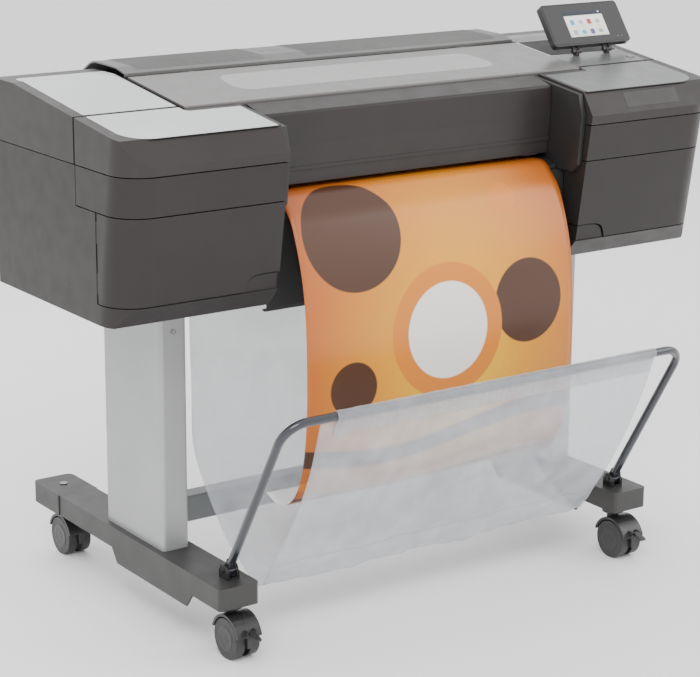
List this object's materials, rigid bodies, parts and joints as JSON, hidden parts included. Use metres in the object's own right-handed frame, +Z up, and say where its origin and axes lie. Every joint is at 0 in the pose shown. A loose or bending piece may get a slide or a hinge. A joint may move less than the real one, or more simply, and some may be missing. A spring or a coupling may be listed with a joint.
{
  "type": "large format plotter",
  "caption": "Wheeled large format inkjet plotter with ink bays either side of a wide print bar, tilting touch screen, roll feed and a mesh basket catching a printed sheet.",
  "frame": {"origin": "on the floor, under the centre of the overall box at rest", "axes": "+X to the machine's own right as the operator faces it (the control screen's end), +Y from the front towards the rear, +Z up"},
  "size_m": [1.317, 0.8581, 1.0704],
  "materials": {
    "housing_dark": "fine satin grain",
    "lid_dark": "fine satin grain",
    "bar_dark": "satin",
    "rear_grey": "satin",
    "window_smoke": "soft gloss",
    "roll_cover_grey": "ribbed satin",
    "tray_steel": "satin black paint",
    "inner_black": "matt",
    "cartridge_black": "soft gloss",
    "rail_aluminium": "drawn, satin",
    "roller_rubber": "matt",
    "pinch_white": "satin",
    "belt_rubber": "matt",
    "pulley_metal": "machined",
    "carriage_plastic": "satin",
    "cutter_plastic": "satin",
    "screen_black": "high gloss",
    "button_grey": "satin",
    "socket_black": "matt",
    "spindle_black": "satin",
    "column_silver": "satin silver paint",
    "beam_grey": "satin grey paint",
    "foot_charcoal": "fine-textured charcoal paint",
    "cap_charcoal": "satin",
    "screw_steel": "bright",
    "fork_charcoal": "satin",
    "wheel_tread": "satin",
    "brake_black": "satin",
    "bar_black": "gloss black",
    "mesh_fabric": "fine open mesh",
    "roll_paper": "matt white",
    "print_paper": "satin, printed"
  },
  "bodies": {
    "chassis": {"base_pan": "tray_steel", "middle_band_left": "housing_dark", "middle_band_right": "housing_dark", "side_cover_left": "housing_dark", "side_cover_right": "housing_dark", "rear_cap_left": "lid_dark", "rear_cap_right": "lid_dark", "rear_housing": "rear_grey", "front_bar_cover": "bar_dark", "lower_front_cover": "inner_black", "end_plates": "inner_black", "platen": "inner_black", "carriage_rail": "rail_aluminium", "drive_belt": "belt_rubber", "power_inlet": "socket_black", "stand_column_left": "column_silver", "stand_column_right": "column_silver", "stand_crossbeam": "beam_grey", "stand_foot_left": "foot_charcoal", "stand_foot_right": "foot_charcoal", "foot_end_caps": "cap_charcoal", "stand_screws": "screw_steel", "basket_brackets": "socket_black", "basket_rail": "rail_aluminium", "basket_fabric_rear": "mesh_fabric", "printed_sheet": "print_paper"},
    "window": {"top_window": "window_smoke"},
    "roll_cover": {"roll_cover": "roll_cover_grey"},
    "ink_lid_left": {"ink_lid_left": "lid_dark"},
    "ink_door_left": {"ink_door_left": "housing_dark"},
    "cartridge_left_1": {"ink_cartridge_left_1": "cartridge_black"},
    "cartridge_left_2": {"ink_cartridge_left_2": "cartridge_black"},
    "cartridge_left_3": {"ink_cartridge_left_3": "cartridge_black"},
    "ink_lid_right": {"ink_lid_right": "lid_dark"},
    "ink_door_right": {"ink_door_right": "housing_dark"},
    "cartridge_right_1": {"ink_cartridge_right_1": "cartridge_black"},
    "cartridge_right_2": {"ink_cartridge_right_2": "cartridge_black"},
    "cartridge_right_3": {"ink_cartridge_right_3": "cartridge_black"},
    "control_screen": {"control_screen": "screen_black"},
    "power_button": {"power_button": "button_grey"},
    "power_switch": {"power_switch": "socket_black"},
    "carriage": {"printhead_carriage": "carriage_plastic"},
    "drive_pulley": {"drive_pulley": "pulley_metal"},
    "cutter": {"sheet_cutter": "cutter_plastic"},
    "feed_roller": {"feed_roller": "roller_rubber"},
    "pinch_roller": {"pinch_roller": "pinch_white"},
    "roll": {"spindle": "spindle_black", "paper_roll": "roll_paper"},
    "basket_bar": {"basket_bar": "bar_black", "basket_fabric_front": "mesh_fabric"},
    "fork_front_left": {"caster_fork_front_left": "fork_charcoal"},
    "wheels_front_left": {"caster_wheels_front_left": "wheel_tread"},
    "fork_rear_left": {"caster_fork_rear_left": "fork_charcoal"},
    "wheels_rear_left": {"caster_wheels_rear_left": "wheel_tread"},
    "brake_left": {"brake_lever_left": "brake_black"},
    "fork_front_right": {"caster_fork_front_right": "fork_charcoal"},
    "wheels_front_right": {"caster_wheels_front_right": "wheel_tread"},
    "fork_rear_right": {"caster_fork_rear_right": "fork_charcoal"},
    "wheels_rear_right": {"caster_wheels_rear_right": "wheel_tread"},
    "brake_right": {"brake_lever_right": "brake_black"}
  },
  "joints": [
    {"name": "window_hinge", "type": "hinge", "parent": "chassis", "child": "window", "pos_m": [0, 0.104, 0.98843], "axis": [-1, 0, 0], "range_deg": [0, 75]},
    {"name": "roll_cover_hinge", "type": "hinge", "parent": "chassis", "child": "roll_cover", "pos_m": [0, 0.2885, 0.938], "axis": [-1, 0, 0], "range_deg": [0, 75]},
    {"name": "ink_lid_left_hinge", "type": "hinge", "parent": "chassis", "child": "ink_lid_left", "pos_m": [-0.5, -0.086, 0.9611], "axis": [-1, 0, 0], "range_deg": [0, 75]},
    {"name": "ink_door_left_hinge", "type": "hinge", "parent": "chassis", "child": "ink_door_left", "pos_m": [-0.6563, -0.158, 0.735], "axis": [0, 0, -1], "range_deg": [0, 85]},
    {"name": "cartridge_left_1_slide", "type": "slide", "parent": "chassis", "child": "cartridge_left_1", "axis": [0, -1, 0], "range_m": [0, 0.012]},
    {"name": "cartridge_left_2_slide", "type": "slide", "parent": "chassis", "child": "cartridge_left_2", "axis": [0, -1, 0], "range_m": [0, 0.012]},
    {"name": "cartridge_left_3_slide", "type": "slide", "parent": "chassis", "child": "cartridge_left_3", "axis": [0, -1, 0], "range_m": [0, 0.012]},
    {"name": "ink_lid_right_hinge", "type": "hinge", "parent": "chassis", "child": "ink_lid_right", "pos_m": [0.5, -0.086, 0.9611], "axis": [-1, 0, 0], "range_deg": [0, 75]},
    {"name": "ink_door_right_hinge", "type": "hinge", "parent": "chassis", "child": "ink_door_right", "pos_m": [0.6563, -0.158, 0.735], "axis": [0, 0, 1], "range_deg": [0, 85]},
    {"name": "cartridge_right_1_slide", "type": "slide", "parent": "chassis", "child": "cartridge_right_1", "axis": [0, -1, 0], "range_m": [0, 0.012]},
    {"name": "cartridge_right_2_slide", "type": "slide", "parent": "chassis", "child": "cartridge_right_2", "axis": [0, -1, 0], "range_m": [0, 0.012]},
    {"name": "cartridge_right_3_slide", "type": "slide", "parent": "chassis", "child": "cartridge_right_3", "axis": [0, -1, 0], "range_m": [0, 0.012]},
    {"name": "screen_tilt", "type": "hinge", "parent": "chassis", "child": "control_screen", "pos_m": [0.551, -0.014, 0.98101], "axis": [1, 0, 0], "range_deg": [-40, 30]},
    {"name": "power_button_push", "type": "slide", "parent": "chassis", "child": "power_button", "axis": [0, 0, -1], "range_m": [0, 0.0015], "stiffness_N_per_m": 700},
    {"name": "power_switch_rock", "type": "hinge", "parent": "chassis", "child": "power_switch", "pos_m": [0.52, 0.212, 0.707], "axis": [1, 0, 0], "range_deg": [-6, 6]},
    {"name": "carriage_travel", "type": "slide", "parent": "chassis", "child": "carriage", "axis": [1, 0, 0], "range_m": [-0.79, 0]},
    {"name": "drive_pulley_spin", "type": "hinge", "parent": "chassis", "child": "drive_pulley", "pos_m": [0.545, 0.009, 0.83], "axis": [0, 0, 1], "continuous": true},
    {"name": "cutter_travel", "type": "slide", "parent": "chassis", "child": "cutter", "axis": [1, 0, 0], "range_m": [-0.58, 0]},
    {"name": "feed_roller_spin", "type": "hinge", "parent": "chassis", "child": "feed_roller", "pos_m": [0, 0.02, 0.7933], "axis": [1, 0, 0], "continuous": true},
    {"name": "pinch_roller_spin", "type": "hinge", "parent": "chassis", "child": "pinch_roller", "pos_m": [0, 0.02, 0.8111], "axis": [1, 0, 0], "continuous": true},
    {"name": "roll_spin", "type": "hinge", "parent": "chassis", "child": "roll", "pos_m": [0, 0.19, 0.915], "axis": [1, 0, 0], "continuous": true},
    {"name": "basket_bar_hinge", "type": "hinge", "parent": "chassis", "child": "basket_bar", "pos_m": [0, -0.238, 0.157], "axis": [1, 0, 0], "range_deg": [-12, 45], "deforming": ["basket_fabric_front"]},
    {"name": "swivel_front_left", "type": "hinge", "parent": "chassis", "child": "fork_front_left", "pos_m": [-0.452, -0.243, 0], "axis": [0, 0, 1], "continuous": true},
    {"name": "wheel_spin_front_left", "type": "hinge", "parent": "fork_front_left", "child": "wheels_front_left", "pos_m": [-0.452, -0.263, 0.0375], "axis": [1, 0, 0], "continuous": true},
    {"name": "swivel_rear_left", "type": "hinge", "parent": "chassis", "child": "fork_rear_left", "pos_m": [-0.452, 0.386, 0], "axis": [0, 0, 1], "continuous": true},
    {"name": "wheel_spin_rear_left", "type": "hinge", "parent": "fork_rear_left", "child": "wheels_rear_left", "pos_m": [-0.452, 0.366, 0.0375], "axis": [1, 0, 0], "continuous": true},
    {"name": "brake_left_tip", "type": "hinge", "parent": "fork_front_left", "child": "brake_left", "pos_m": [-0.452, -0.3115, 0.0595], "axis": [1, 0, 0], "range_deg": [0, 20]},
    {"name": "swivel_front_right", "type": "hinge", "parent": "chassis", "child": "fork_front_right", "pos_m": [0.452, -0.243, 0], "axis": [0, 0, 1], "continuous": true},
    {"name": "wheel_spin_front_right", "type": "hinge", "parent": "fork_front_right", "child": "wheels_front_right", "pos_m": [0.452, -0.263, 0.0375], "axis": [1, 0, 0], "continuous": true},
    {"name": "swivel_rear_right", "type": "hinge", "parent": "chassis", "child": "fork_rear_right", "pos_m": [0.452, 0.386, 0], "axis": [0, 0, 1], "continuous": true},
    {"name": "wheel_spin_rear_right", "type": "hinge", "parent": "fork_rear_right", "child": "wheels_rear_right", "pos_m": [0.452, 0.366, 0.0375], "axis": [1, 0, 0], "continuous": true},
    {"name": "brake_right_tip", "type": "hinge", "parent": "fork_front_right", "child": "brake_right", "pos_m": [0.452, -0.3115, 0.0595], "axis": [1, 0, 0], "range_deg": [0, 20]}
  ],
  "couplings": [
    {"joint": "drive_pulley_spin", "follows": "carriage_travel", "rad_per_m": 153.85},
    {"joint": "pinch_roller_spin", "follows": "feed_roller_spin", "ratio": -2.4}
  ]
}
